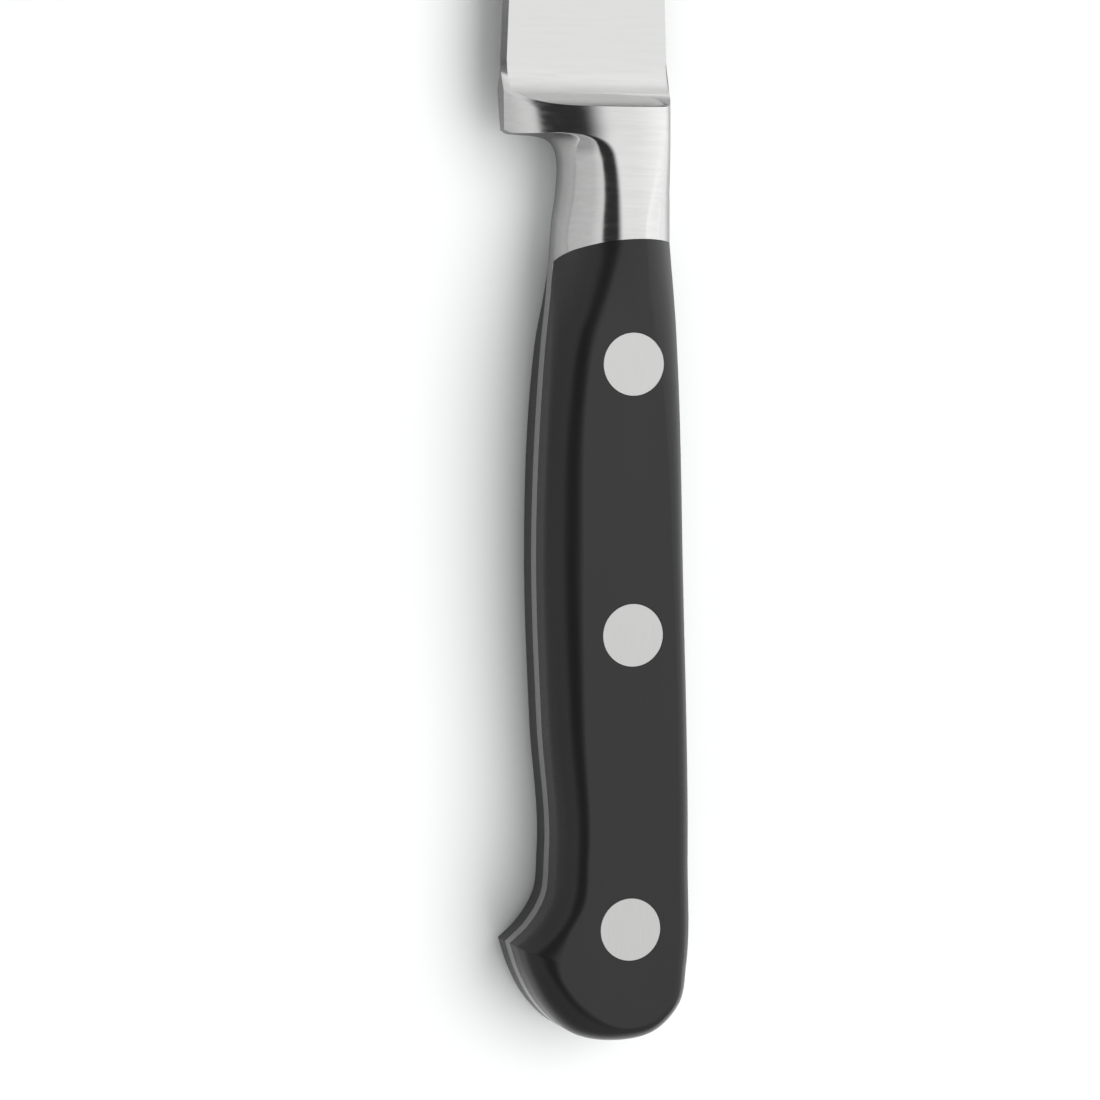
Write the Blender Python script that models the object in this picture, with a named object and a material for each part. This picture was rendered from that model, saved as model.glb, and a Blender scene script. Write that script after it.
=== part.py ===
"""Forged kitchen knife: one-piece blade, bolster and full tang, two handle scales, three two-part rivets.

Knife frame, in millimetres: +Y runs from the heel line towards the blade tip, +X from the cutting edge
towards the spine, and z = 0 is the plane that the blade and the tang share. The knife lies on its side,
so the world frame adds half of the handle's thickness to z.
"""
import math

import bmesh
import bpy

MM = 0.001

# Blade
BLADE_LENGTH = 150.0
HEEL_EDGE_X = -21.5
HEEL_SPINE_X = 0.7
TIP_X = -7.0
EDGE_LEAN = 6.0
SPINE_LEAN = 4.2
EDGE_HALF = 0.07
BEVEL_WIDTH = 0.8
BEVEL_HALF = 0.27
FACE_RISE = 0.04
DISTAL_TAPER = 0.00105

# Bolster, measured from the heel line at y = 0
FILLET_RADIUS = 6.4
BOLSTER_HALF = 6.85
GUARD_EDGE_HALF = 0.6
CROWN_X = -4.6
CROWN_LEAN = 0.18
GUARD_BACK_Y = -3.35

# Handle
HANDLE_HALF = 7.6
TANG_HALF = 1.08
JOINT_APEX_Y = -16.9
JOINT_CENTRE_X = -4.5
JOINT_REACH = 10.3
JOINT_SAG = 3.4
GAP = 0.25

# Rivets: centres, head radius, head height, tube and pin radii
RIVET_CENTRES = [(-5.86, -33.0), (-5.91, -68.0), (-6.21, -106.3)]
HEAD_RADIUS = 4.08
HEAD_HEIGHT = 2.4
HEAD_RECESS = 0.02
TUBE_RADIUS = 2.4
TUBE_BORE = 1.6
PIN_RADIUS = 1.35

# Stations round the handle: rim x, y where the side wall stands, then x, y where the flat begins,
# then the depth of the rounding between the two and how softly it turns into the flat (2 is a plain
# ellipse). The first run goes from the joint to the hook's point.
BELLY_STATIONS = [
    (-14.75, -20.0, -6.9, -17.0, 7.6, 1.9),
    (-15.1, -24.5, -9.0, -24.5, 6.0, 1.7),
    (-15.7, -30.0, -10.9, -30.3, 4.4, 1.6),
    (-16.25, -37.0, -12.0, -37.0, 3.6, 1.5),
    (-17.03, -57.0, -12.5, -57.0, 3.6, 1.5),
    (-16.3, -80.0, -12.25, -80.0, 3.6, 1.5),
    (-15.3, -97.0, -11.7, -97.0, 3.6, 1.5),
    (-15.95, -102.7, -12.3, -103.1, 3.6, 1.5),
    (-18.2, -106.2, -14.4, -106.9, 3.6, 1.5),
    (-20.65, -108.4, -15.7, -110.2, 3.6, 1.5),
]
# The second run goes from the hook's point round the butt and back along the spine.
BUTT_STATIONS = [
    BELLY_STATIONS[-1],
    (-19.3, -112.4, -15.4, -112.2, 3.6, 1.5),
    (-17.0, -116.5, -13.7, -114.8, 3.6, 1.5),
    (-13.35, -119.9, -10.9, -117.3, 3.4, 1.6),
    (-7.5, -121.16, -7.2, -119.1, 3.0, 1.7),
    (-2.3, -120.1, -3.2, -118.4, 2.5, 1.8),
    (1.2, -116.5, -0.4, -115.5, 2.5, 1.9),
    (2.2, -111.5, 0.3, -111.1, 2.8, 1.8),
    (2.46, -98.0, 0.4, -98.0, 3.0, 1.8),
    (1.72, -60.0, -0.5, -60.0, 3.0, 1.8),
    (1.25, -34.0, -2.2, -34.0, 3.6, 1.6),
    (1.05, -25.0, -3.5, -25.0, 4.6, 1.45),
    (0.7, -17.4, -4.2, -16.9, 5.6, 1.4),
]
# The guard's back and the throat: x, y at mid thickness, then x, y at the near side's edge.
THROAT_STATIONS = [
    (-21.2, -2.95, -21.25, -2.85),
    (-20.5, -3.28, -20.6, -3.2),
    (-19.0, -3.42, -19.0, -3.33),
    (-17.3, -3.48, -17.0, -3.33),
    (-15.9, -3.66, -15.0, -3.3),
    (-14.75, -4.1, -12.9, -3.38),
    (-14.1, -4.85, -11.0, -3.75),
    (-13.75, -5.9, -9.4, -4.3),
    (-13.62, -7.2, -8.1, -5.4),
    (-13.65, -8.8, -7.5, -7.4),
    (-13.87, -11.2, -7.15, -10.4),
    (-14.35, -14.3, -7.0, -14.0),
    (-14.75, -20.0, -6.9, -17.0),
]
GUARD_STATIONS = 6
NECK_SOFTNESS = 1.9
SPINE_ROUND = 2.5
SPINE_ROUND_BACK = 4.9
SPINE_SOFTNESS_BACK = 1.4
SPINE_DEPTH = 5.6

# Fineness of the mesh
SPAN_STEPS = 4
ROUND_STEPS = 6
SPINE_STEPS = 4
FILLET_STEPS = 5
BLADE_ROWS = 14
FLAT_STEPS = 4
CIRCLE_STEPS = 32


def smooth_step(value):
    value = min(max(value, 0.0), 1.0)
    return value * value * (3.0 - 2.0 * value)


def mix(a, b, amount):
    return a + (b - a) * amount


def spline(stations, steps):
    """Cubic curve through stations of any width, paced by the distance between their first two values."""
    lengths = [math.dist(a[:2], b[:2]) for a, b in zip(stations, stations[1:])]
    slopes = [
        [(q - p) / length for p, q in zip(a, b)]
        for a, b, length in zip(stations, stations[1:], lengths)
    ]
    tangents = [slopes[0]]
    for before, after, first, second in zip(lengths, lengths[1:], slopes, slopes[1:]):
        tangents.append([(p * after + q * before) / (before + after) for p, q in zip(first, second)])
    tangents.append(slopes[-1])
    result = []
    for index, length in enumerate(lengths):
        for step in range(steps):
            t = step / steps
            weights = (
                2 * t**3 - 3 * t**2 + 1,
                (t**3 - 2 * t**2 + t) * length,
                3 * t**2 - 2 * t**3,
                (t**3 - t**2) * length,
            )
            parts = zip(stations[index], tangents[index], stations[index + 1], tangents[index + 1])
            result.append(tuple(sum(w * v for w, v in zip(weights, part)) for part in parts))
    result.append(tuple(stations[-1]))
    return result


def joint_y(x):
    """The curved line in which bolster and scales meet, flattest near the spine."""
    reach = min(abs(x - JOINT_CENTRE_X) / JOINT_REACH, 1.0)
    return JOINT_APEX_Y - JOINT_SAG * (1.0 - math.sqrt(1.0 - reach**2))


def along_blade(y):
    """Share of the way from the bolster's fillet to the tip."""
    return max(y - FILLET_RADIUS, 0.0) / (BLADE_LENGTH - FILLET_RADIUS)


def edge_x(y):
    t = along_blade(y)
    return HEEL_EDGE_X + EDGE_LEAN * t + (TIP_X - HEEL_EDGE_X - EDGE_LEAN) * t**5


def spine_x(y):
    t = along_blade(y)
    return HEEL_SPINE_X - SPINE_LEAN * t + (TIP_X - HEEL_SPINE_X + SPINE_LEAN) * t**4


def bevel_width(y):
    return min(BEVEL_WIDTH, 0.4 * (spine_x(y) - edge_x(y)))


def face_half(x, y):
    """Half thickness at the flat ground face, which thins towards the edge and the tip."""
    taper = DISTAL_TAPER * max(y - FILLET_RADIUS, 0.0)
    return BEVEL_HALF + FACE_RISE * (x - edge_x(y) - bevel_width(y)) - taper


def blade_half(x, y):
    """Half of the blade's thickness: the ground face, then a narrow sharpened bevel at the edge."""
    shoulder = edge_x(y) + bevel_width(y)
    if x >= shoulder:
        return face_half(x, y)
    return mix(EDGE_HALF, face_half(shoulder, y), (x - edge_x(y)) / bevel_width(y))


def backwards(y):
    """Share of the way from the guard's back to the joint."""
    return smooth_step((GUARD_BACK_Y - y) / (GUARD_BACK_Y - JOINT_APEX_Y))


def crowned(x, y, drop):
    """Half thickness of the bolster's side, drop below its crown's line: an arc that fades to the joint."""
    back = backwards(y)
    run = CROWN_X - HEEL_EDGE_X
    rise = BOLSTER_HALF - GUARD_EDGE_HALF
    radius = (run**2 + rise**2) / (2 * rise)
    centre = CROWN_X - CROWN_LEAN * max(y - GUARD_BACK_Y, 0.0)
    away = min(abs(x - centre), run)
    fall = (1.0 - back) * (radius - math.sqrt(radius**2 - away**2))
    level = mix(BOLSTER_HALF, HANDLE_HALF, back)
    share = max(level - drop - TANG_HALF, 0.0) / (level - TANG_HALF)
    return level - drop - share * fall


def shade(bm, angle):
    for face in bm.faces:
        face.smooth = True
    for edge in bm.edges:
        edge.smooth = len(edge.link_faces) == 2 and edge.calc_face_angle() < math.radians(angle)


def make_object(name, bm, material, parent, location, angle=32.0):
    bmesh.ops.recalc_face_normals(bm, faces=bm.faces)
    shade(bm, angle)
    mesh = bpy.data.meshes.new(name)
    bm.to_mesh(mesh)
    bm.free()
    mesh.materials.append(material)
    obj = bpy.data.objects.new(name, mesh)
    bpy.context.scene.collection.objects.link(obj)
    obj.parent = parent
    obj.location = location
    return obj


def make_material(name, colour, roughness, metallic):
    material = bpy.data.materials.new(name)
    material.use_nodes = True
    shader = material.node_tree.nodes["Principled BSDF"]
    shader.inputs["Base Color"].default_value = (*colour, 1.0)
    shader.inputs["Roughness"].default_value = roughness
    shader.inputs["Metallic"].default_value = metallic
    return material


def quads(bm, rows):
    """Faces between neighbouring rows of vertices of equal length."""
    for first, second in zip(rows, rows[1:]):
        for a, b, c, d in zip(first, first[1:], second[1:], second):
            bm.faces.new((a, b, c, d))


def handle_rim():
    """Stations round the handle from the joint's belly corner to its spine corner."""
    return spline(BELLY_STATIONS, SPAN_STEPS)[:-1] + spline(BUTT_STATIONS, SPAN_STEPS)


def rounding(station, z):
    """Share of the way from rim to flat at height z."""
    depth, softness = station[4:]
    rise = min(max((z - HANDLE_HALF + depth) / depth, 0.0), 1.0)
    return 1.0 - (1.0 - rise**2) ** (1.0 / softness)


def scale_mesh(side):
    """One handle scale; side is 1 for the near one and -1 for the far one."""
    bm = bmesh.new()
    base = TANG_HALF + GAP
    heights = [
        mix(base, HANDLE_HALF, math.sin(0.5 * math.pi * i / ROUND_STEPS)) for i in range(ROUND_STEPS + 1)
    ]
    stations = handle_rim()
    columns = []
    for number, station in enumerate(stations):
        column = []
        for z in heights:
            share = rounding(station, z)
            x = mix(station[0], station[2], share)
            y = mix(station[1], station[3], share)
            if number in (0, len(stations) - 1):
                y = joint_y(x) - GAP
            column.append(bm.verts.new((x, y, side * z)))
        columns.append(column)
    quads(bm, columns)

    # The curved front wall stands on the same line as the bolster's back.
    belly, spine = columns[0], columns[-1]
    middle = [mix(belly[-1].co.x, spine[-1].co.x, i / 5) for i in range(1, 5)]
    top = belly + [bm.verts.new((x, joint_y(x) - GAP, side * HANDLE_HALF)) for x in middle] + spine[::-1]
    lower = [belly[0]]
    for vert in top[2:-2]:
        lower.append(bm.verts.new((vert.co.x, vert.co.y, side * base)))
    lower.append(spine[0])
    bm.faces.new((top[0], top[1], top[2], lower[1]))
    for i in range(1, len(lower) - 2):
        bm.faces.new((top[i + 1], top[i + 2], lower[i + 1], lower[i]))
    bm.faces.new((top[-3], top[-2], top[-1], lower[-2]))
    bm.faces.new([column[-1] for column in columns] + top[-ROUND_STEPS - 2 : ROUND_STEPS : -1])
    bm.faces.new([column[0] for column in columns] + lower[-2:0:-1])
    bmesh.ops.scale(bm, vec=(MM, MM, MM), verts=bm.verts)
    return bm


def forging_mesh():
    """Near half of the forging, open at z = 0; a mirror makes the far half."""
    bm = bmesh.new()
    flat_end = HEEL_SPINE_X - SPINE_ROUND
    guard = THROAT_STATIONS[:GUARD_STATIONS]
    neck = THROAT_STATIONS[GUARD_STATIONS:]
    first_neck_x = guard[-1][2]
    columns_x = [station[2] for station in guard]
    columns_x[0] = HEEL_EDGE_X
    columns_x[1] = HEEL_EDGE_X + BEVEL_WIDTH
    columns_x += [mix(first_neck_x, flat_end, i / FLAT_STEPS) for i in range(1, FLAT_STEPS + 1)]
    spine_shares = [math.sin(0.5 * math.pi * i / SPINE_STEPS) for i in range(1, SPINE_STEPS + 1)]
    columns_x += [flat_end + SPINE_ROUND * share for share in spine_shares]

    def spine_drop(x):
        away = min(max(x - flat_end, 0.0) / SPINE_ROUND, 1.0)
        return SPINE_DEPTH * (1.0 - math.sqrt(1.0 - away**2))

    def plunge(x):
        """Start angle of the fillet that runs from the bolster's side down to the blade."""
        height = crowned(x, 0.0, spine_drop(x)) - blade_half(x, FILLET_RADIUS)
        return math.acos(1.0 - min(height / FILLET_RADIUS, 1.0))

    rows = []
    width = HEEL_SPINE_X - HEEL_EDGE_X
    for i in range(BLADE_ROWS):
        y = mix(FILLET_RADIUS, BLADE_LENGTH, 1.0 - (1.0 - i / BLADE_ROWS) ** 1.25)
        row = []
        for number, x0 in enumerate(columns_x):
            share = (x0 - HEEL_EDGE_X - BEVEL_WIDTH) / (width - BEVEL_WIDTH)
            x = edge_x(y) if number == 0 else mix(edge_x(y) + bevel_width(y), spine_x(y), share)
            row.append(bm.verts.new((x, y, blade_half(x, y))))
        rows.insert(0, row)
    for i in range(1, FILLET_STEPS + 1):
        row = []
        for x in columns_x:
            turn = plunge(x) * i / FILLET_STEPS
            y = FILLET_RADIUS * (1.0 - math.sin(turn))
            lift = FILLET_RADIUS * (1.0 - math.cos(turn))
            row.append(bm.verts.new((x, y, blade_half(x, FILLET_RADIUS) + lift)))
        rows.append(row)
    for i in (1, 2):
        row = []
        for number, x in enumerate(columns_x):
            y_front = FILLET_RADIUS * (1.0 - math.sin(plunge(x)))
            x_back, y_back = guard[number][2:] if number < GUARD_STATIONS else (x, GUARD_BACK_Y)
            px, py = mix(x, x_back, i / 2), mix(y_front, y_back, i / 2)
            row.append(bm.verts.new((px, py, crowned(px, py, spine_drop(px)))))
        rows.append(row)
    quads(bm, rows)

    # Neck: rows of the same columns, whose belly end follows the throat's near edge.
    kept = rows[-1][GUARD_STATIONS - 1 :]
    neck_rows = [kept]
    shares = [(i / FLAT_STEPS, 0.0) for i in range(FLAT_STEPS + 1)]
    shares += [(1.0, rounded) for rounded in spine_shares]
    for number, (_, _, fx, fy) in enumerate(neck):
        back_y = mix(GUARD_BACK_Y, JOINT_APEX_Y, (number + 1) / len(neck))
        round_width = mix(SPINE_ROUND, SPINE_ROUND_BACK, backwards(back_y))
        softness = mix(2.0, SPINE_SOFTNESS_BACK, backwards(back_y))
        flat_stop = HEEL_SPINE_X - round_width
        row = []
        for share, rounded in shares:
            x = mix(fx, flat_stop, share) + rounded * round_width
            y = mix(fy, back_y, smooth_step(share * 1.6))
            if number == len(neck) - 1:
                y = joint_y(x)
            drop = SPINE_DEPTH * (1.0 - math.sqrt(1.0 - rounded**softness))
            row.append(bm.verts.new((x, y, crowned(x, y, drop))))
        neck_rows.append(row)
    quads(bm, neck_rows)

    # Rounded belly of the neck and the guard's back wall, from mid thickness up to the near edge.
    near_edge = rows[-1][:GUARD_STATIONS] + [row[0] for row in neck_rows[1:]]
    tang_turn = math.asin(TANG_HALF / HANDLE_HALF)
    belly_turns = [0.0] + [mix(tang_turn, 0.5 * math.pi, i / ROUND_STEPS) for i in range(ROUND_STEPS)]
    strips = []
    for number, (station, top) in enumerate(zip(THROAT_STATIONS, near_edge)):
        strip = []
        for turn in belly_turns:
            share = 1.0 - math.cos(turn) ** (2.0 / NECK_SOFTNESS)
            x, y = mix(station[0], top.co.x, share), mix(station[1], top.co.y, share)
            if number == len(THROAT_STATIONS) - 1:
                y = joint_y(x)
            strip.append(bm.verts.new((x, y, top.co.z * math.sin(turn))))
        strips.append(strip + [top])
    quads(bm, strips)

    # Walls down to mid thickness: blade edge and guard end, tip, spine.
    edge_top = [row[0] for row in rows]
    edge_low = [bm.verts.new((v.co.x, v.co.y, 0.0)) for v in edge_top[:-1]]
    quads(bm, [edge_top[:-1], edge_low])
    bm.faces.new([edge_top[-2], edge_low[-1]] + strips[0])
    spine_top = [row[-1] for row in rows] + [row[-1] for row in neck_rows[1:]]
    spine_low = [bm.verts.new((v.co.x, v.co.y, 0.0)) for v in spine_top]
    quads(bm, [spine_top[:-1], spine_low[:-1]])
    shoulder = bm.verts.new((spine_top[-1].co.x, spine_top[-1].co.y, TANG_HALF))
    bm.faces.new((spine_top[-2], spine_top[-1], shoulder, spine_low[-1], spine_low[-2]))
    tip = bm.verts.new((TIP_X, BLADE_LENGTH, face_half(TIP_X, BLADE_LENGTH)))
    tip_low = bm.verts.new((TIP_X, BLADE_LENGTH, 0.0))
    for a, b in zip(rows[0], rows[0][1:]):
        bm.faces.new((a, b, tip))
    bm.faces.new((rows[0][0], tip, tip_low, edge_low[0]))
    bm.faces.new((rows[0][-1], tip, tip_low, spine_low[0]))

    # Back wall of the bolster, down to the tang.
    top = strips[-1][1:] + neck_rows[-1][1:] + [shoulder]
    lower = [top[0]]
    lower += [bm.verts.new((v.co.x, v.co.y, TANG_HALF)) for v in top[1:-2]]
    lower.append(shoulder)
    bm.faces.new((top[0], top[1], lower[1]))
    for i in range(1, len(lower) - 2):
        bm.faces.new((top[i], top[i + 1], lower[i + 1], lower[i]))
    bm.faces.new((top[-3], top[-2], shoulder, lower[-2]))

    # Tang: a plate with the handle's own outline.
    rim = handle_rim()[1:-1]
    rim_top = [top[0]] + [bm.verts.new((s[0], s[1], TANG_HALF)) for s in rim] + [shoulder]
    rim_low = [strips[-1][0]] + [bm.verts.new((s[0], s[1], 0.0)) for s in rim] + [spine_low[-1]]
    quads(bm, [rim_top, rim_low])
    bm.faces.new(rim_top + lower[-2:0:-1])
    bmesh.ops.scale(bm, vec=(MM, MM, MM), verts=bm.verts)
    return bm


def turned_mesh(profile):
    """Solid of revolution about z from (radius, height) points, of which the first and last lie on z."""
    bm = bmesh.new()
    rings = []
    for radius, height in profile[1:-1]:
        ring = []
        for i in range(CIRCLE_STEPS):
            angle = 2.0 * math.pi * i / CIRCLE_STEPS
            point = (radius * math.cos(angle) * MM, radius * math.sin(angle) * MM, height * MM)
            ring.append(bm.verts.new(point))
        rings.append(ring + ring[:1])
    quads(bm, rings)
    for ring in (rings[0], rings[-1]):
        bm.faces.new(ring[:-1])
    return bm


def cutter(name, profile, parent, location):
    obj = make_object(name, turned_mesh(profile), steel, parent, location)
    obj.hide_render = True
    obj.display_type = "WIRE"
    return obj


def cut(obj, tool):
    modifier = obj.modifiers.new("rivet hole", "BOOLEAN")
    modifier.operation = "DIFFERENCE"
    modifier.solver = "EXACT"
    modifier.object = tool


for old in list(bpy.data.objects):
    bpy.data.objects.remove(old, do_unlink=True)

steel = make_material("forged_steel", (0.62, 0.62, 0.61), 0.3, 1.0)
polymer = make_material("black_polymer", (0.018, 0.018, 0.02), 0.42, 0.0)
rivet_steel = make_material("rivet_steel", (0.66, 0.66, 0.65), 0.36, 1.0)

rim_points = handle_rim()
centre_x = 0.5 * (HEEL_EDGE_X + max(s[0] for s in rim_points))
centre_y = 0.5 * (min(s[1] for s in rim_points) + BLADE_LENGTH)
origin = (-centre_x * MM, -centre_y * MM, HANDLE_HALF * MM)

root = bpy.data.objects.new("knife", None)
bpy.context.scene.collection.objects.link(root)

forging = make_object("blade_forging", forging_mesh(), steel, root, origin)
mirror = forging.modifiers.new("far half", "MIRROR")
mirror.use_axis = (False, False, True)
mirror.merge_threshold = 0.00001

near_scale = make_object("near_scale", scale_mesh(1), polymer, root, origin)
far_scale = make_object("far_scale", scale_mesh(-1), polymer, root, origin)

head_top = HANDLE_HALF - HEAD_RECESS
head_low = HANDLE_HALF - HEAD_HEIGHT
hole = TUBE_RADIUS + GAP
seat = HEAD_RADIUS + GAP
seat_low = head_low - GAP
for number, (x, y) in enumerate(RIVET_CENTRES):
    place = (origin[0] + x * MM, origin[1] + y * MM, origin[2])
    label = ("front", "middle", "rear")[number]
    sleeve = [
        (0, head_low - 0.4),
        (TUBE_BORE, head_low - 0.4),
        (TUBE_BORE, GAP - head_low),
        (TUBE_RADIUS, GAP - head_low),
        (TUBE_RADIUS, head_low),
        (HEAD_RADIUS, head_low),
        (HEAD_RADIUS, head_top),
        (0, head_top),
    ]
    pin = [
        (0, head_low - 0.4 - GAP),
        (PIN_RADIUS, head_low - 0.4 - GAP),
        (PIN_RADIUS, -head_low),
        (HEAD_RADIUS, -head_low),
        (HEAD_RADIUS, -head_top),
        (0, -head_top),
    ]
    make_object(label + "_rivet_sleeve", turned_mesh(sleeve), rivet_steel, root, place)
    make_object(label + "_rivet_pin", turned_mesh(pin), rivet_steel, root, place)
    shaft = [(0, -20), (hole, -20), (hole, 20), (0, 20)]
    near_seat = [(0, 0), (hole, 0), (hole, seat_low), (seat, seat_low), (seat, 20), (0, 20)]
    far_seat = [(radius, -height) for radius, height in near_seat]
    cut(forging, cutter(label + "_tang_hole", shaft, root, place))
    cut(near_scale, cutter(label + "_near_hole", near_seat, root, place))
    cut(far_scale, cutter(label + "_far_hole", far_seat, root, place))
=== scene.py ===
import math

import bmesh
import bpy
from mathutils import Matrix, Vector


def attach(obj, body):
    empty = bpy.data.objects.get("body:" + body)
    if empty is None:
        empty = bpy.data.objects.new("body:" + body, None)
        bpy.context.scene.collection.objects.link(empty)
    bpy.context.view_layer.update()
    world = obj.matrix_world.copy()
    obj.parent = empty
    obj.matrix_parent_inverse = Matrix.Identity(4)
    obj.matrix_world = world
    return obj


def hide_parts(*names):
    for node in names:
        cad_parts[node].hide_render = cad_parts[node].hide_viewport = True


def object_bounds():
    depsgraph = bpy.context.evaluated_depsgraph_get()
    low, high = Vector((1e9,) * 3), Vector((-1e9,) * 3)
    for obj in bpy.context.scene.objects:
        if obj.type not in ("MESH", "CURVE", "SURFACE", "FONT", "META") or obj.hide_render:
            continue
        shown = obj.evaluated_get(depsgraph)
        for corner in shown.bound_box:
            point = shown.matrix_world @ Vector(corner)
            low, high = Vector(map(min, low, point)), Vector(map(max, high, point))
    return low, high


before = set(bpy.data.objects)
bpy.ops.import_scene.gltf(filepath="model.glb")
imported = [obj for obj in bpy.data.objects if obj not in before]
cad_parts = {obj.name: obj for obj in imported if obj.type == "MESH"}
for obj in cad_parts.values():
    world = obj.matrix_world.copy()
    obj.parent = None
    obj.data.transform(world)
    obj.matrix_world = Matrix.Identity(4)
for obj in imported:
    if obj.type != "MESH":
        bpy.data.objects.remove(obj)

CAD_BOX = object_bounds()
MM = 0.001

# The knife's own frame, in millimetres: +Y to the tip, +X to the spine, z = 0 in the blade's
# plane. ORIGIN, below, is this frame's zero in the row frame, in metres.
BLADE_LENGTH = 150.0
HEEL_EDGE_X = -21.5
HEEL_SPINE_X = 0.7
TIP_X = -7.0
EDGE_LEAN = 6.0
SPINE_LEAN = 4.2
EDGE_CURVE = 5
SPINE_CURVE = 4
EDGE_HALF = 0.07
BEVEL_WIDTH = 0.8
BEVEL_SHARE_AT_TIP = 0.4
BEVEL_HALF = 0.27
FACE_RISE = 0.04
DISTAL_TAPER = 0.00105
FILLET_RADIUS = 6.4
BOLSTER_HALF = 6.85
GUARD_EDGE_HALF = 0.6
CROWN_X = -4.6
CROWN_LEAN = 0.18
CROWN_END_Y = -29.0
GUARD_BACK_Y = -3.35
HANDLE_HALF = 7.6
TANG_HALF = 1.08
JOINT_APEX_Y = -16.9
JOINT_CENTRE_X = -4.5
JOINT_REACH = 10.3
JOINT_SAG = 3.4
SEAM = 0.03
RIVET_CENTRES = [(-5.86, -33.0), (-5.91, -68.0), (-6.21, -106.3)]
HEAD_RADIUS = 4.08
HEAD_HEIGHT = 2.4
HEAD_RECESS = 0.01
HEAD_CHAMFER = 0.03
TUBE_RADIUS = 2.4
TUBE_BORE = 1.6
TUBE_FLOOR = 0.4
PIN_RADIUS = 1.35

# Stations round the handle, from the joint to the hook's point: rim x, y where the side wall
# stands, then x, y where the flat begins, the depth of the rounding between them, and how soft
# its turn into the flat is (2 is a plain ellipse).
BELLY_STATIONS = [
    (-14.75, -20.0, -6.9, -17.0, 7.6, 1.9),
    (-15.1, -24.5, -9.0, -24.5, 6.0, 1.7),
    (-15.7, -30.0, -10.9, -30.3, 4.4, 1.6),
    (-16.25, -37.0, -12.0, -37.0, 3.6, 1.5),
    (-17.03, -57.0, -12.5, -57.0, 3.6, 1.5),
    (-16.3, -80.0, -12.25, -80.0, 3.6, 1.5),
    (-15.3, -97.0, -11.7, -97.0, 3.6, 1.5),
    (-15.95, -102.7, -12.3, -103.1, 3.6, 1.5),
    (-18.2, -106.2, -14.4, -106.9, 3.6, 1.5),
    (-20.65, -108.4, -15.7, -110.2, 3.6, 1.5),
]
# The same from the hook's point round the butt and back along the spine.
BUTT_STATIONS = [
    BELLY_STATIONS[-1],
    (-19.3, -112.4, -15.4, -112.2, 3.6, 1.5),
    (-17.0, -116.5, -13.7, -114.8, 3.6, 1.5),
    (-13.35, -119.9, -10.9, -117.3, 3.4, 1.6),
    (-7.5, -121.15, -7.2, -119.1, 3.0, 1.7),
    (-2.3, -120.1, -3.2, -118.4, 2.5, 1.8),
    (1.2, -116.5, -0.4, -115.5, 2.5, 1.9),
    (2.2, -111.5, 0.3, -111.1, 2.8, 1.8),
    (2.44, -98.0, 0.4, -98.0, 3.0, 1.8),
    (1.72, -60.0, -0.5, -60.0, 3.0, 1.8),
    (1.25, -34.0, -2.2, -34.0, 3.6, 1.6),
    (1.05, -25.0, -3.5, -25.0, 4.6, 1.45),
    (0.7, -17.4, -4.2, -16.9, 5.6, 1.4),
]
# The guard's back and the throat: x, y at mid thickness, then x, y at the near side's edge.
# The first GUARD_STATIONS of them belong to the guard.
THROAT_STATIONS = [
    (-21.2, -2.95, -21.25, -2.85),
    (-20.5, -3.28, -20.6, -3.2),
    (-19.0, -3.42, -19.0, -3.33),
    (-17.3, -3.48, -17.0, -3.33),
    (-15.9, -3.66, -15.0, -3.3),
    (-14.75, -4.1, -12.9, -3.38),
    (-14.1, -4.85, -11.0, -3.75),
    (-13.75, -5.9, -9.4, -4.3),
    (-13.62, -7.2, -8.1, -5.4),
    (-13.65, -8.8, -7.5, -7.4),
    (-13.87, -11.2, -7.15, -10.4),
    (-14.35, -14.3, -7.0, -14.0),
    (-14.75, -20.0, -6.9, -17.0),
]
GUARD_STATIONS = 6
NECK_ROW_BEND = 1.6
NECK_SOFTNESS = 1.9
SPINE_ROUND = 2.5
SPINE_SOFTNESS = 2.0
SPINE_ROUND_BACK = 4.9
SPINE_SOFTNESS_BACK = 1.4
SPINE_DEPTH = 5.6

low, high = CAD_BOX
ORIGIN = Vector(
    (low[0] - HEEL_EDGE_X * MM, high[1] - BLADE_LENGTH * MM, high[2] - HANDLE_HALF * MM)
)


def smooth_step(value):
    value = min(max(value, 0.0), 1.0)
    return value * value * (3.0 - 2.0 * value)


def mix(a, b, amount):
    return a + (b - a) * amount


def spline(stations, steps):
    """Cubic curve through stations, paced by the distance between their first two values."""
    lengths = [math.dist(a[:2], b[:2]) for a, b in zip(stations, stations[1:])]
    slopes = [
        [(q - p) / length for p, q in zip(a, b)]
        for a, b, length in zip(stations, stations[1:], lengths)
    ]
    tangents = [slopes[0]]
    for before, after, first, second in zip(lengths, lengths[1:], slopes, slopes[1:]):
        pairs = zip(first, second)
        tangents.append([(p * after + q * before) / (before + after) for p, q in pairs])
    tangents.append(slopes[-1])
    result = []
    for index, length in enumerate(lengths):
        for step in range(steps):
            t = step / steps
            weights = (
                2 * t**3 - 3 * t**2 + 1,
                (t**3 - 2 * t**2 + t) * length,
                3 * t**2 - 2 * t**3,
                (t**3 - t**2) * length,
            )
            parts = zip(stations[index], tangents[index], stations[index + 1], tangents[index + 1])
            result.append(tuple(sum(w * v for w, v in zip(weights, part)) for part in parts))
    result.append(tuple(stations[-1]))
    return result


def joint_y(x):
    """The curved line in which bolster and scales meet, flattest near the spine."""
    reach = min(abs(x - JOINT_CENTRE_X) / JOINT_REACH, 1.0)
    return JOINT_APEX_Y - JOINT_SAG * (1.0 - math.sqrt(1.0 - reach**2))


def along_blade(y):
    """Share of the way from the bolster's fillet to the tip."""
    return max(y - FILLET_RADIUS, 0.0) / (BLADE_LENGTH - FILLET_RADIUS)


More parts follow.
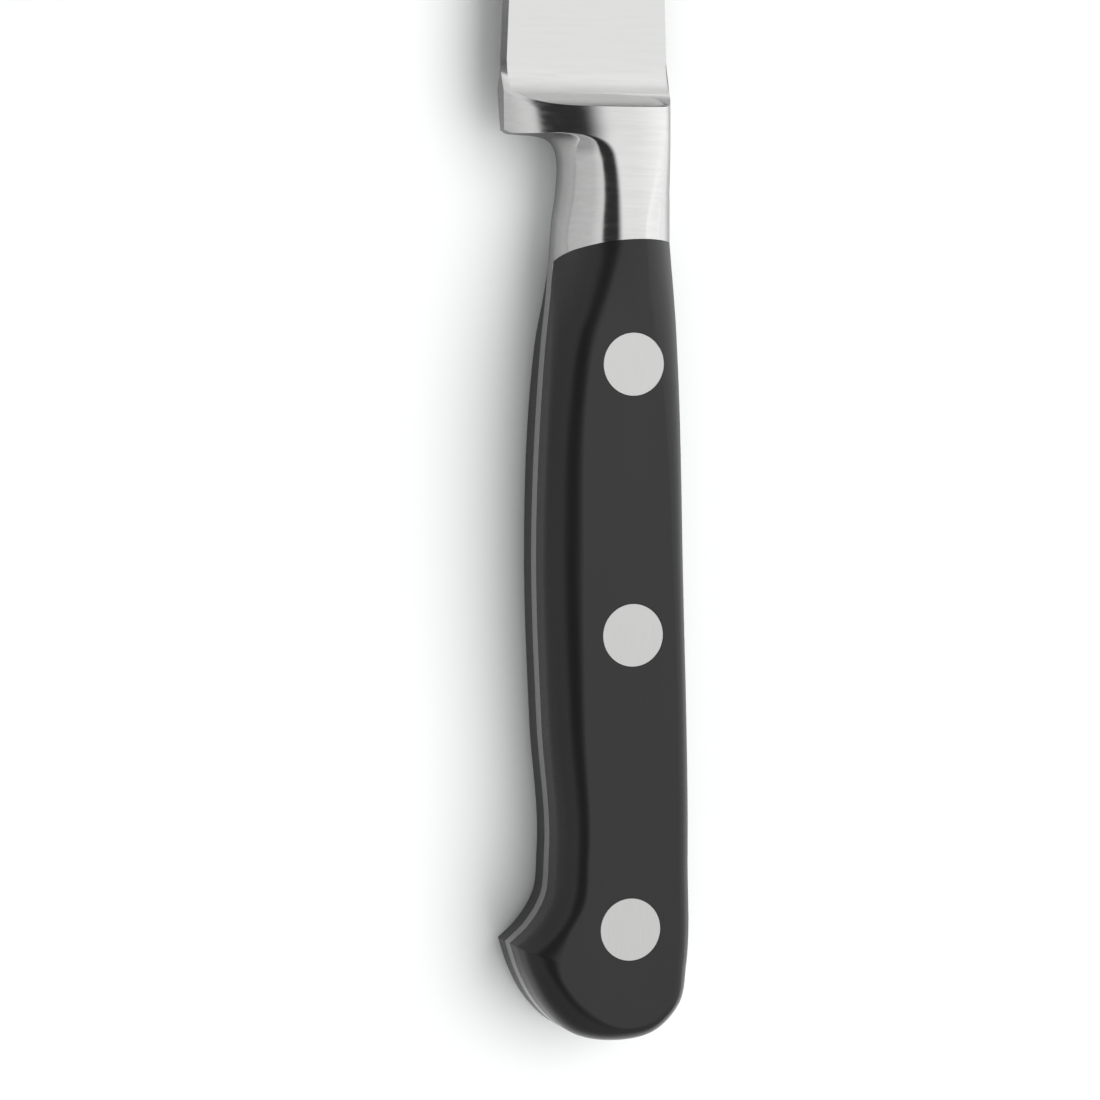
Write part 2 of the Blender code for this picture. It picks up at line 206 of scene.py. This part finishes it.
def edge_x(y):
    t = along_blade(y)
    return HEEL_EDGE_X + EDGE_LEAN * t + (TIP_X - HEEL_EDGE_X - EDGE_LEAN) * t**EDGE_CURVE


def spine_x(y):
    t = along_blade(y)
    return HEEL_SPINE_X - SPINE_LEAN * t + (TIP_X - HEEL_SPINE_X + SPINE_LEAN) * t**SPINE_CURVE


def bevel_width(y):
    return min(BEVEL_WIDTH, BEVEL_SHARE_AT_TIP * (spine_x(y) - edge_x(y)))


def face_half(x, y):
    """Half thickness at the flat ground face, which thins towards the edge and the tip."""
    taper = DISTAL_TAPER * max(y - FILLET_RADIUS, 0.0)
    return BEVEL_HALF + FACE_RISE * (x - edge_x(y) - bevel_width(y)) - taper


def blade_half(x, y):
    """Half of the blade's thickness: the ground face, then the narrow sharpened bevel."""
    shoulder = edge_x(y) + bevel_width(y)
    if x >= shoulder:
        return face_half(x, y)
    return mix(EDGE_HALF, face_half(shoulder, y), (x - edge_x(y)) / bevel_width(y))


def backwards(y):
    """Share of the way from the guard's back to the joint."""
    return smooth_step((GUARD_BACK_Y - y) / (GUARD_BACK_Y - JOINT_APEX_Y))


def level(y):
    """Half thickness at the crown's line, from the bolster's front back to the handle."""
    return mix(BOLSTER_HALF, HANDLE_HALF, backwards(y))


def crown_fall(x, y):
    """How far the crowned side lies below its line, which leans on the guard: an arc that fades out
    behind the joint."""
    run = CROWN_X - HEEL_EDGE_X
    drop = BOLSTER_HALF - GUARD_EDGE_HALF
    radius = (run**2 + drop**2) / (2 * drop)
    fade = smooth_step((y - CROWN_END_Y) / (JOINT_APEX_Y - CROWN_END_Y))
    centre = CROWN_X - CROWN_LEAN * max(y - GUARD_BACK_Y, 0.0)
    return fade * (radius - math.sqrt(radius**2 - min(abs(x - centre), run) ** 2))


def crowned(x, y, z):
    """Height z of a plain section, lowered with the crown; nothing moves below the tang's face."""
    share = max(z - TANG_HALF, 0.0) / (level(y) - TANG_HALF)
    return z - share * crown_fall(x, y)


def side_half(x, y):
    """Half thickness over the bolster's side."""
    return crowned(x, y, level(y))


def spine_round(y):
    """Width and softness of the bolster's rounding at the spine."""
    width = mix(SPINE_ROUND, SPINE_ROUND_BACK, backwards(y))
    return width, mix(SPINE_SOFTNESS, SPINE_SOFTNESS_BACK, backwards(y))


# Fineness of the visible meshes
SPAN_STEPS = 12
ROUND_STEPS = 24
SPINE_STEPS = 12
FILLET_STEPS = 16
GUARD_ROWS = 8
NECK_STEPS = 5
BLADE_ROWS = 60
BLADE_ROW_PACE = 1.25
FLAT_STEPS = 16
CIRCLE_STEPS = 128
CROWN_CELL = 0.6
CROWN_CELLS_FROM_X = -8.8
CROWN_CELLS_TO_X = 0.2
CROWN_CELLS_TO_Y = -17.0
MERGE = 1e-5
STEEL_SHARP_ANGLE = 11.0
SHARP_ANGLE = 24.0
FLAT_FACE_WEIGHT = 80
CUT_REACH = 20.0


def handle_rim():
    """Stations round the handle from the joint's belly corner to its spine corner."""
    return spline(BELLY_STATIONS, SPAN_STEPS)[:-1] + spline(BUTT_STATIONS, SPAN_STEPS)


def rounding(station, z):
    """Share of the way from rim to flat at height z."""
    depth, softness = station[4:]
    rise = min(max((z - HANDLE_HALF + depth) / depth, 0.0), 1.0)
    return 1.0 - (1.0 - rise**2) ** (1.0 / softness)


def spaced(start, stop, step):
    return [start + step * i for i in range(math.floor((stop - start) / step) + 1)]


def quads(bm, rows):
    """Faces between neighbouring rows of vertices of equal length."""
    for first, second in zip(rows, rows[1:]):
        for a, b, c, d in zip(first, first[1:], second[1:], second):
            bm.faces.new((a, b, c, d))


def carve(obj, cutters):
    """Cuts the cutters out of obj for good and drops them."""
    for cutter in cutters:
        modifier = obj.modifiers.new("hole", "BOOLEAN")
        modifier.operation = "DIFFERENCE"
        modifier.solver = "EXACT"
        modifier.object = cutter
    graph = bpy.context.evaluated_depsgraph_get()
    cut = bpy.data.meshes.new_from_object(obj.evaluated_get(graph))
    obj.modifiers.clear()
    obj.data = cut
    for cutter in cutters:
        bpy.data.objects.remove(cutter, do_unlink=True)


def place_mesh(name, bm):
    """An object in the row frame from a mesh in the knife's own millimetres."""
    bmesh.ops.recalc_face_normals(bm, faces=bm.faces)
    bmesh.ops.scale(bm, vec=(MM, MM, MM), verts=bm.verts)
    bmesh.ops.translate(bm, vec=ORIGIN, verts=bm.verts)
    mesh = bpy.data.meshes.new(name)
    bm.to_mesh(mesh)
    bm.free()
    obj = bpy.data.objects.new(name, mesh)
    bpy.context.scene.collection.objects.link(obj)
    return obj


def finish_piece(obj, material, node, sharp_angle):
    """Shades a piece and lets it stand for the CAD node on the knife's one body."""
    mesh = obj.data
    mesh.materials.clear()
    mesh.materials.append(material)
    mesh.shade_smooth()
    mesh.set_sharp_from_angle(angle=math.radians(sharp_angle))
    weighting = obj.modifiers.new("flat faces lead", "WEIGHTED_NORMAL")
    weighting.mode = "FACE_AREA"
    weighting.keep_sharp = True
    weighting.weight = FLAT_FACE_WEIGHT
    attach(obj, "root")
    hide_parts(node)


def scale_mesh(side):
    """One handle scale; side is 1 for the near one and -1 for the far one."""
    bm = bmesh.new()
    base = TANG_HALF + SEAM
    heights = [
        mix(base, HANDLE_HALF, math.sin(0.5 * math.pi * i / ROUND_STEPS))
        for i in range(ROUND_STEPS + 1)
    ]
    stations = handle_rim()
    columns = []
    for number, station in enumerate(stations):
        column = []
        for z in heights:
            share = rounding(station, z)
            x = mix(station[0], station[2], share)
            y = mix(station[1], station[3], share)
            if number in (0, len(stations) - 1):
                y = joint_y(x) - SEAM
            column.append(bm.verts.new((x, y, side * crowned(x, y, z))))
        columns.append(column)
    quads(bm, columns)

    # The curved front wall stands on the same line as the bolster's back.
    belly, spine = columns[0], columns[-1]
    middle = [mix(belly[-1].co.x, spine[-1].co.x, i / FLAT_STEPS) for i in range(1, FLAT_STEPS)]
    front_top = [(x, joint_y(x) - SEAM) for x in middle]
    top = belly + [bm.verts.new((x, y, side * side_half(x, y))) for x, y in front_top] + spine[::-1]
    lower = [belly[0]]
    for vert in top[2:-2]:
        lower.append(bm.verts.new((vert.co.x, vert.co.y, side * base)))
    lower.append(spine[0])
    bm.faces.new((top[0], top[1], top[2], lower[1]))
    for i in range(1, len(lower) - 2):
        bm.faces.new((top[i + 1], top[i + 2], lower[i + 1], lower[i]))
    bm.faces.new((top[-3], top[-2], top[-1], lower[-2]))
    flat_front = top[-ROUND_STEPS - 2 : ROUND_STEPS : -1]
    flat = bm.faces.new([column[-1] for column in columns] + flat_front)
    bm.faces.new([column[0] for column in columns] + lower[-2:0:-1])

    # The crowned stretch of the flat is divided, so that it can bend.
    cuts_x = spaced(CROWN_CELLS_FROM_X, CROWN_CELLS_TO_X, CROWN_CELL)
    cuts_y = spaced(CROWN_END_Y, CROWN_CELLS_TO_Y, CROWN_CELL)
    cuts = [((x, 0.0, 0.0), (1.0, 0.0, 0.0)) for x in cuts_x]
    cuts += [((0.0, y, 0.0), (0.0, 1.0, 0.0)) for y in cuts_y]
    cells = [flat]
    for point, normal in cuts:
        edges = {edge for cell in cells for edge in cell.edges}
        verts = {vert for cell in cells for vert in cell.verts}
        cut = bmesh.ops.bisect_plane(
            bm, geom=[*verts, *edges, *cells], plane_co=point, plane_no=normal, dist=MERGE
        )
        cells = [item for item in cut["geom"] if isinstance(item, bmesh.types.BMFace)]
    edge_verts = {column[-1] for column in columns} | set(top)
    for vert in {vert for cell in cells for vert in cell.verts} - edge_verts:
        vert.co.z = side * side_half(vert.co.x, vert.co.y)
    return bm


def forging_mesh():
    """Blade, bolster and tang in one: the near half is built, and mirrored through z = 0."""
    bm = bmesh.new()
    flat_end = HEEL_SPINE_X - SPINE_ROUND
    throat = spline(THROAT_STATIONS, NECK_STEPS)
    guard_count = (GUARD_STATIONS - 1) * NECK_STEPS + 1
    guard, neck = throat[:guard_count], throat[guard_count:]
    first_neck_x = guard[-1][2]
    shoulder_x = HEEL_EDGE_X + BEVEL_WIDTH
    stretch = (first_neck_x - shoulder_x) / (first_neck_x - guard[1][2])
    columns_x = [HEEL_EDGE_X] + [first_neck_x - stretch * (first_neck_x - s[2]) for s in guard[1:]]
    columns_x += [mix(first_neck_x, flat_end, i / FLAT_STEPS) for i in range(1, FLAT_STEPS + 1)]
    turns = [
        math.atan(math.tan(0.5 * math.pi * i / SPINE_STEPS) * SPINE_ROUND / SPINE_DEPTH)
        for i in range(1, SPINE_STEPS)
    ]
    spine_shares = [math.sin(turn) for turn in turns] + [1.0]
    columns_x += [flat_end + SPINE_ROUND * share for share in spine_shares]

    def rounded_half(x, y, share, softness=SPINE_SOFTNESS):
        """Half thickness with the spine's rounding, of whose width share lies before x."""
        drop = SPINE_DEPTH * (1.0 - math.sqrt(1.0 - share**softness))
        return crowned(x, y, level(y) - drop)

    def front_half(x, y):
        return rounded_half(x, y, min(max(x - flat_end, 0.0) / SPINE_ROUND, 1.0))

    def plunge(x):
        """Start angle of the fillet that runs from the bolster's side down to the blade."""
        height = front_half(x, 0.0) - blade_half(x, FILLET_RADIUS)
        return math.acos(1.0 - min(height / FILLET_RADIUS, 1.0))

    rows = []
    width = HEEL_SPINE_X - HEEL_EDGE_X
    for i in range(BLADE_ROWS):
        y = mix(FILLET_RADIUS, BLADE_LENGTH, 1.0 - (1.0 - i / BLADE_ROWS) ** BLADE_ROW_PACE)
        row = []
        for number, x0 in enumerate(columns_x):
            share = (x0 - shoulder_x) / (width - BEVEL_WIDTH)
            x = edge_x(y) if number == 0 else mix(edge_x(y) + bevel_width(y), spine_x(y), share)
            row.append(bm.verts.new((x, y, blade_half(x, y))))
        rows.insert(0, row)
    for i in range(1, FILLET_STEPS + 1):
        row = []
        for x in columns_x:
            turn = plunge(x) * i / FILLET_STEPS
            y = FILLET_RADIUS * (1.0 - math.sin(turn))
            lift = FILLET_RADIUS * (1.0 - math.cos(turn))
            row.append(bm.verts.new((x, y, blade_half(x, FILLET_RADIUS) + lift)))
        rows.append(row)
    for i in range(1, GUARD_ROWS + 1):
        row = []
        for number, x in enumerate(columns_x):
            y_front = FILLET_RADIUS * (1.0 - math.sin(plunge(x)))
            x_back, y_back = guard[number][2:] if number < guard_count else (x, GUARD_BACK_Y)
            px, py = mix(x, x_back, i / GUARD_ROWS), mix(y_front, y_back, i / GUARD_ROWS)
            row.append(bm.verts.new((px, py, front_half(px, py))))
        rows.append(row)
    quads(bm, rows)

    # Neck: rows of the same columns, whose belly end follows the throat's near edge.
    kept = rows[-1][guard_count - 1 :]
    neck_rows = [kept]
    for number, (_, _, fx, fy) in enumerate(neck):
        back_y = mix(GUARD_BACK_Y, JOINT_APEX_Y, (number + 1) / len(neck))
        round_width, softness = spine_round(back_y)
        flat_stop = HEEL_SPINE_X - round_width
        row = []
        for column in range(FLAT_STEPS + SPINE_STEPS + 1):
            step = column - FLAT_STEPS
            share = min(column / FLAT_STEPS, 1.0)
            rounded = spine_shares[step - 1] if step > 0 else 0.0
            x = mix(fx, flat_stop, share) + rounded * round_width
            y = mix(fy, back_y, smooth_step(share * NECK_ROW_BEND))
            if number == len(neck) - 1:
                y = joint_y(x)
            row.append(bm.verts.new((x, y, rounded_half(x, y, rounded, softness))))
        neck_rows.append(row)
    quads(bm, neck_rows)

    # Rounded belly of the neck and the guard's back wall, from mid thickness up to the near edge.
    near_edge = rows[-1][:guard_count] + [row[0] for row in neck_rows[1:]]
    tang_turn = math.asin(TANG_HALF / HANDLE_HALF)
    belly_turns = [mix(tang_turn, 0.5 * math.pi, i / ROUND_STEPS) for i in range(ROUND_STEPS)]
    belly_turns.insert(0, 0.0)
    strips = []
    for number, (station, top) in enumerate(zip(throat, near_edge)):
        neck_share = smooth_step((number - guard_count + 2 * NECK_STEPS) / (3 * NECK_STEPS))
        strip = []
        for turn in belly_turns:
            share = 1.0 - math.cos(turn) ** (2.0 / NECK_SOFTNESS)
            x, y = mix(station[0], top.co.x, share), mix(station[1], top.co.y, share)
            if number == len(throat) - 1:
                y = joint_y(x)
            wall_z = top.co.z * math.sin(turn)
            neck_z = crowned(x, y, level(y) * math.sin(turn))
            strip.append(bm.verts.new((x, y, mix(wall_z, neck_z, neck_share))))
        strips.append(strip + [top])
    quads(bm, strips)

    # Walls down to mid thickness: blade edge and guard end, tip, spine.
    edge_top = [row[0] for row in rows]
    edge_low = [bm.verts.new((v.co.x, v.co.y, 0.0)) for v in edge_top[:-1]]
    quads(bm, [edge_top[:-1], edge_low])
    bm.faces.new([edge_top[-2], edge_low[-1]] + strips[0])
    spine_top = [row[-1] for row in rows] + [row[-1] for row in neck_rows[1:]]
    spine_low = [bm.verts.new((v.co.x, v.co.y, 0.0)) for v in spine_top]
    quads(bm, [spine_top[:-1], spine_low[:-1]])
    shoulder = bm.verts.new((spine_top[-1].co.x, spine_top[-1].co.y, TANG_HALF))
    bm.faces.new((spine_top[-2], spine_top[-1], shoulder, spine_low[-1], spine_low[-2]))
    tip = bm.verts.new((TIP_X, BLADE_LENGTH, face_half(TIP_X, BLADE_LENGTH)))
    tip_low = bm.verts.new((TIP_X, BLADE_LENGTH, 0.0))
    for a, b in zip(rows[0], rows[0][1:]):
        bm.faces.new((a, b, tip))
    bm.faces.new((rows[0][0], tip, tip_low, edge_low[0]))
    bm.faces.new((rows[0][-1], tip, tip_low, spine_low[0]))

    # Back wall of the bolster, down to the tang.
    top = strips[-1][1:] + neck_rows[-1][1:] + [shoulder]
    lower = [top[0]]
    lower += [bm.verts.new((v.co.x, v.co.y, TANG_HALF)) for v in top[1:-2]]
    lower.append(shoulder)
    bm.faces.new((top[0], top[1], lower[1]))
    for i in range(1, len(lower) - 2):
        bm.faces.new((top[i], top[i + 1], lower[i + 1], lower[i]))
    bm.faces.new((top[-3], top[-2], shoulder, lower[-2]))

    # Tang: a plate with the handle's own outline.
    rim = handle_rim()[1:-1]
    rim_top = [top[0]] + [bm.verts.new((s[0], s[1], TANG_HALF)) for s in rim] + [shoulder]
    rim_low = [strips[-1][0]] + [bm.verts.new((s[0], s[1], 0.0)) for s in rim] + [spine_low[-1]]
    quads(bm, [rim_top, rim_low])
    bm.faces.new(rim_top + lower[-2:0:-1])
    geometry = bm.verts[:] + bm.edges[:] + bm.faces[:]
    bmesh.ops.mirror(bm, geom=geometry, matrix=Matrix(), merge_dist=MERGE, axis="Z")
    return bm


def turned_mesh(profile):
    """Solid of revolution from (radius, height) points; the first and the last lie on the axis."""
    bm = bmesh.new()
    rings = []
    for radius, height in profile[1:-1]:
        ring = []
        for i in range(CIRCLE_STEPS):
            angle = 2.0 * math.pi * i / CIRCLE_STEPS
            ring.append(bm.verts.new((radius * math.cos(angle), radius * math.sin(angle), height)))
        rings.append(ring + ring[:1])
    quads(bm, rings)
    for ring in (rings[0], rings[-1]):
        bm.faces.new(ring[:-1])
    return bm


def turned_piece(name, profile, centre):
    bm = turned_mesh(profile)
    bmesh.ops.translate(bm, vec=(*centre, 0.0), verts=bm.verts)
    return place_mesh(name, bm)


# Node materials

class Graph:
    """Adds nodes to a node tree and links or sets their inputs."""

    def __init__(self, tree):
        self.tree = tree

    def add(self, kind, inputs=None, **settings):
        node = self.tree.nodes.new("ShaderNode" + kind)
        for key, value in settings.items():
            setattr(node, key, value)
        for key, value in (inputs or {}).items():
            self.feed(node.inputs[key], value)
        return node

    def feed(self, socket, value):
        if isinstance(value, bpy.types.NodeSocket):
            self.tree.links.new(value, socket)
        else:
            socket.default_value = value

    def math(self, operation, *values):
        node = self.add("Math", operation=operation)
        for socket, value in zip(node.inputs, values):
            self.feed(socket, value)
        return node.outputs[0]

    def ramp(self, value, start, stop, first=0.0, last=1.0, curve="SMOOTHSTEP"):
        """The value carried from the range start to stop onto the range first to last."""
        ranges = {"From Min": start, "From Max": stop, "To Min": first, "To Max": last}
        node = self.add("MapRange", {"Value": value, **ranges}, interpolation_type=curve)
        return node.outputs["Result"]

    def noise(self, place, cells_per_metre, detail=3.0, roughness=0.5):
        """Noise whose cells along x, y and z are as many to a metre as the three numbers say."""
        mapping = self.add("Mapping", {"Vector": place, "Scale": cells_per_metre})
        stretched = mapping.outputs["Vector"]
        inputs = {"Vector": stretched, "Scale": 1.0, "Detail": detail, "Roughness": roughness}
        return self.add("TexNoise", inputs).outputs["Fac"]

    def blend(self, first, second, share):
        """Sum of two values, of which the first has this share and the second the rest."""
        parts = self.math("MULTIPLY", first, share), self.math("MULTIPLY", second, 1.0 - share)
        return self.math("ADD", *parts)


def shader_graph(name):
    """A new node material with its graph, its shader and the point's place on the object."""
    material = bpy.data.materials.new(name)
    material.use_nodes = True
    graph = Graph(material.node_tree)
    shader = material.node_tree.nodes["Principled BSDF"]
    place = graph.add("TexCoord").outputs["Object"]
    return material, graph, shader, place


def add_bump(graph, shader, height, distance):
    bump = graph.add("Bump", {"Height": height, "Distance": distance, "Strength": 1.0})
    graph.feed(shader.inputs["Normal"], bump.outputs["Normal"])


def tinted(graph, amount, dark, light):
    """Colour between dark and light, each a colour or a socket."""
    mixer = graph.add("Mix", data_type="RGBA")
    graph.feed(mixer.inputs[0], amount)
    for socket, colour in zip(mixer.inputs[6:8], (dark, light)):
        graph.feed(socket, (*colour, 1.0) if isinstance(colour, tuple) else colour)
    return mixer.outputs[2]


def forged_steel():
    """Satin steel, ground across the knife, with the grain's own streaks in gloss and tone."""
    material, graph, shader, place = shader_graph("satin_forged_steel")
    grain = graph.noise(place, (90.0, 5200.0, 2600.0), roughness=0.6)
    cloud = graph.noise(place, (160.0, 320.0, 160.0))
    tone = graph.blend(grain, cloud, 0.7)
    along = graph.add("SeparateXYZ", {"Vector": place}).outputs["Y"]
    bolster = graph.ramp(along, ORIGIN.y + 0.0065, ORIGIN.y + 0.003, 0.25, 1.0)
    streak = graph.noise(place, (150.0, 1500.0, 700.0), 4.0, 0.65)
    streak = graph.math("MULTIPLY", bolster, graph.ramp(streak, 0.62, 0.36, 0.0, 0.7))
    tone = graph.math("SUBTRACT", tone, streak)
    colour = tinted(graph, tone, (0.62, 0.62, 0.617), (0.672, 0.672, 0.668))
    graph.feed(shader.inputs["Base Color"], colour)
    shader.inputs["Metallic"].default_value = 1.0
    graph.feed(shader.inputs["Roughness"], graph.ramp(tone, 0.2, 0.8, 0.12, 0.18, "LINEAR"))
    add_bump(graph, shader, grain, 0.0000006)
    return material


def black_polymer():
    """Dense moulded black, linished lengthwise, with a painted sheen: paler towards the tang and at
    the butt.
    """
    material, graph, shader, place = shader_graph("linished_black_polymer")
    grain = graph.noise(place, (5200.0, 140.0, 5200.0), roughness=0.6)
    cloud = graph.noise(place, (220.0, 60.0, 220.0), 4.0)
    plain_black = tinted(graph, cloud, (0.0055, 0.0055, 0.006), (0.0075, 0.0075, 0.008))
    _, along, up = graph.add("SeparateXYZ", {"Vector": place}).outputs
    height = graph.math("ABSOLUTE", graph.math("SUBTRACT", up, ORIGIN.z))
    # Painted sheen: the base colour turns paler on the rounding towards the tang along the whole
    # handle, fully so at the butt, standing in for reflected light.
    sheen_toward_tang = graph.ramp(height, 0.0068, 0.0025)
    sheen_at_butt = graph.ramp(along, ORIGIN.y - 0.112, ORIGIN.y - 0.1, 1.0, 0.45)
    painted_sheen = graph.math("MULTIPLY", sheen_toward_tang, sheen_at_butt)
    graph.feed(shader.inputs["Base Color"], tinted(graph, painted_sheen, plain_black, (0.075, 0.075, 0.076)))
    tone = graph.blend(grain, cloud, 0.5)
    graph.feed(shader.inputs["Roughness"], graph.ramp(tone, 0.2, 0.8, 0.25, 0.33, "LINEAR"))
    shader.inputs["Specular IOR Level"].default_value = 0.44
    add_bump(graph, shader, grain, 0.000001)
    return material


def rivet_steel():
    """Rivet metal, ground flush lengthwise with the scales."""
    material, graph, shader, place = shader_graph("ground_rivet_steel")
    grain = graph.noise(place, (5200.0, 200.0, 5200.0), roughness=0.6)
    colour = tinted(graph, grain, (0.55, 0.55, 0.545), (0.665, 0.665, 0.66))
    graph.feed(shader.inputs["Base Color"], colour)
    shader.inputs["Metallic"].default_value = 1.0
    graph.feed(shader.inputs["Roughness"], graph.ramp(grain, 0.2, 0.8, 0.32, 0.42, "LINEAR"))
    add_bump(graph, shader, grain, 0.0000012)
    return material


# Pieces

steel = forged_steel()
polymer = black_polymer()
rivet = rivet_steel()

head_top = HANDLE_HALF - HEAD_RECESS
head_low = HANDLE_HALF - HEAD_HEIGHT
tube_end = head_low - TUBE_FLOOR
hole = TUBE_RADIUS + SEAM
seat = HEAD_RADIUS + SEAM
seat_low = head_low - SEAM


def hole_cutters(profile):
    return [turned_piece("cutter", profile, centre) for centre in RIVET_CENTRES]


through_hole = [(0, -CUT_REACH), (hole, -CUT_REACH), (hole, CUT_REACH), (0, CUT_REACH)]
near_seat = [
    (0, 0),
    (hole, 0),
    (hole, seat_low),
    (seat, seat_low),
    (seat, CUT_REACH),
    (0, CUT_REACH),
]
far_seat = [(radius, -height) for radius, height in near_seat]

forging = place_mesh("forged_blade", forging_mesh())
carve(forging, hole_cutters(through_hole))
finish_piece(forging, steel, "blade_forging", STEEL_SHARP_ANGLE)

near_scale = place_mesh("near_grip_scale", scale_mesh(1))
carve(near_scale, hole_cutters(near_seat))
finish_piece(near_scale, polymer, "near_scale", SHARP_ANGLE)
far_scale = place_mesh("far_grip_scale", scale_mesh(-1))
carve(far_scale, hole_cutters(far_seat))
finish_piece(far_scale, polymer, "far_scale", SHARP_ANGLE)

sleeve = [
    (0, tube_end),
    (TUBE_BORE, tube_end),
    (TUBE_BORE, SEAM - head_low),
    (TUBE_RADIUS, SEAM - head_low),
    (TUBE_RADIUS, head_low),
    (HEAD_RADIUS, head_low),
    (HEAD_RADIUS, head_top - HEAD_CHAMFER),
    (HEAD_RADIUS - HEAD_CHAMFER, head_top),
    (0, head_top),
]
pin = [
    (0, tube_end - SEAM),
    (PIN_RADIUS, tube_end - SEAM),
    (PIN_RADIUS, -head_low),
    (HEAD_RADIUS, -head_low),
    (HEAD_RADIUS, HEAD_CHAMFER - head_top),
    (HEAD_RADIUS - HEAD_CHAMFER, -head_top),
    (0, -head_top),
]
for label, centre in zip(("front", "middle", "rear"), RIVET_CENTRES):
    head_and_tube = turned_piece(label + "_rivet_head_and_tube", sleeve, centre)
    finish_piece(head_and_tube, rivet, label + "_rivet_sleeve", SHARP_ANGLE)
    head_and_pin = turned_piece(label + "_rivet_head_and_pin", pin, centre)
    finish_piece(head_and_pin, rivet, label + "_rivet_pin", SHARP_ANGLE)


# Floor, light and camera, in metres

FLOOR_HALF_SIZE = 0.9
FLOOR_CLEARANCE = 0.0002
CEILING_SIZE = (1.4, 2.6)
CEILING_HEIGHT = 1.0
CEILING_Y = -0.55
CAMERA_LENS = 130.909
CAMERA_LEAN = (-0.297, 0.06)
CAMERA_PLACE = Vector((-169.47, -25.98, 496.31))


def make_floor():
    """Pale floor to the camera; in reflections its colour carries painted shade near and under the
    knife and painted light on the spine side and beyond the butt.
    """
    bm = bmesh.new()
    bmesh.ops.create_grid(bm, x_segments=1, y_segments=1, size=FLOOR_HALF_SIZE)
    mesh = bpy.data.meshes.new("floor")
    bm.to_mesh(mesh)
    bm.free()
    floor = bpy.data.objects.new("floor", mesh)
    floor.location = (0.0, 0.0, low[2] - FLOOR_CLEARANCE)
    bpy.context.scene.collection.objects.link(floor)
    material, graph, shader, place = shader_graph("pale_floor")
    across, along, _ = graph.add("SeparateXYZ", {"Vector": place}).outputs
    # Painted shade and light for reflected rays only: darker near and under the knife, lighter on
    # the spine side and beyond the butt; camera rays see an even pale floor.
    left = graph.ramp(across, -0.06, -0.012, 0.58, 0.5)
    right = graph.ramp(across, 0.01, 0.045, -0.1, 0.5)
    painted_reflected_tone = graph.math("ADD", left, right)
    near_butt = graph.ramp(along, -0.2, -0.17)
    beyond_butt = graph.math("MULTIPLY", near_butt, graph.ramp(along, -0.125, -0.145, 0.0, 0.6))
    painted_reflected_tone = graph.math("ADD", painted_reflected_tone, beyond_butt)
    seen = graph.add("LightPath").outputs["Is Camera Ray"]
    graph.feed(shader.inputs["Base Color"], tinted(graph, seen, painted_reflected_tone, (0.887, 0.905, 0.899)))
    shader.inputs["Roughness"].default_value = 0.9
    shader.inputs["Specular IOR Level"].default_value = 0.1
    mesh.materials.append(material)


def make_world():
    """What the metal mirrors: a soft box on the spine's side, a dark gap beside it, pale walls."""
    world = bpy.data.worlds.new("studio")
    world.use_nodes = True
    world.cycles_visibility.diffuse = False
    bpy.context.scene.world = world
    graph = Graph(world.node_tree)
    background = world.node_tree.nodes["Background"]
    direction = graph.add("TexCoord").outputs["Generated"]
    x, y, z = graph.add("SeparateXYZ", {"Vector": direction}).outputs
    across = graph.math("DEGREES", graph.math("ARCTAN2", x, z))
    along = graph.math("DEGREES", graph.math("ARCSINE", y))
    box = graph.math("MULTIPLY", graph.ramp(across, -14.5, 2.0), graph.ramp(across, 120.0, 105.0))
    box = graph.math("MULTIPLY", box, graph.ramp(along, -34.0, -24.0))
    box = graph.math("MULTIPLY", box, graph.ramp(along, 96.0, 37.0))
    glow = graph.ramp(across, 14.0, 36.0, 1.12, 1.36)
    glow = graph.math("MULTIPLY", glow, graph.ramp(along, -24.0, 4.0, 0.7, 1.03, "LINEAR"))
    wall = graph.ramp(z, 0.775, 0.73, 0.035, 0.9)
    wall = graph.math("MULTIPLY", wall, graph.ramp(z, 0.48, 0.72, 0.8, 1.04))
    wall = graph.math("MULTIPLY", wall, graph.ramp(z, 0.0, 0.45, 0.92, 1.0))
    wall = graph.math("MULTIPLY", wall, graph.ramp(y, -0.1, -0.6, 1.0, 0.68))
    light = graph.add("Mix", {0: box, 2: wall, 3: glow}, data_type="FLOAT").outputs[0]
    seen = graph.add("LightPath").outputs["Is Camera Ray"]
    light = graph.add("Mix", {0: seen, 2: light, 3: 1.0}, data_type="FLOAT").outputs[0]
    graph.feed(background.inputs["Color"], light)


def make_lamp(name, side, radiance):
    """Half of a broad soft ceiling, on the knife's spine side or its edge side."""
    width, length = CEILING_SIZE
    data = bpy.data.lights.new(name, "AREA")
    data.shape = "RECTANGLE"
    data.size = width
    data.size_y = length
    data.energy = radiance * math.pi * width * length
    lamp = bpy.data.objects.new(name, data)
    bpy.context.scene.collection.objects.link(lamp)
    lamp.location = (side * 0.5 * width, CEILING_Y, CEILING_HEIGHT)
    lamp.visible_glossy = False


def make_camera():
    """Camera over the handle, leaning to the edge side; its place is in the knife's own frame."""
    data = bpy.data.cameras.new("camera")
    data.lens = CAMERA_LENS
    camera = bpy.data.objects.new("camera", data)
    bpy.context.scene.collection.objects.link(camera)
    lean_x, lean_y = CAMERA_LEAN
    back = Vector((lean_x, lean_y, math.sqrt(1.0 - lean_x**2 - lean_y**2)))
    right = Vector((0.0, 1.0, 0.0)).cross(back).normalized()
    up = back.cross(right)
    turn = Matrix((right, up, back)).transposed().to_4x4()
    camera.matrix_world = Matrix.Translation(ORIGIN + CAMERA_PLACE * MM) @ turn
    bpy.context.scene.camera = camera


make_floor()
make_world()
make_lamp("spine_side_ceiling", 1, 2.62)
make_lamp("edge_side_ceiling", -1, 1.0)
make_camera()
bpy.context.scene.view_settings.view_transform = "Standard"
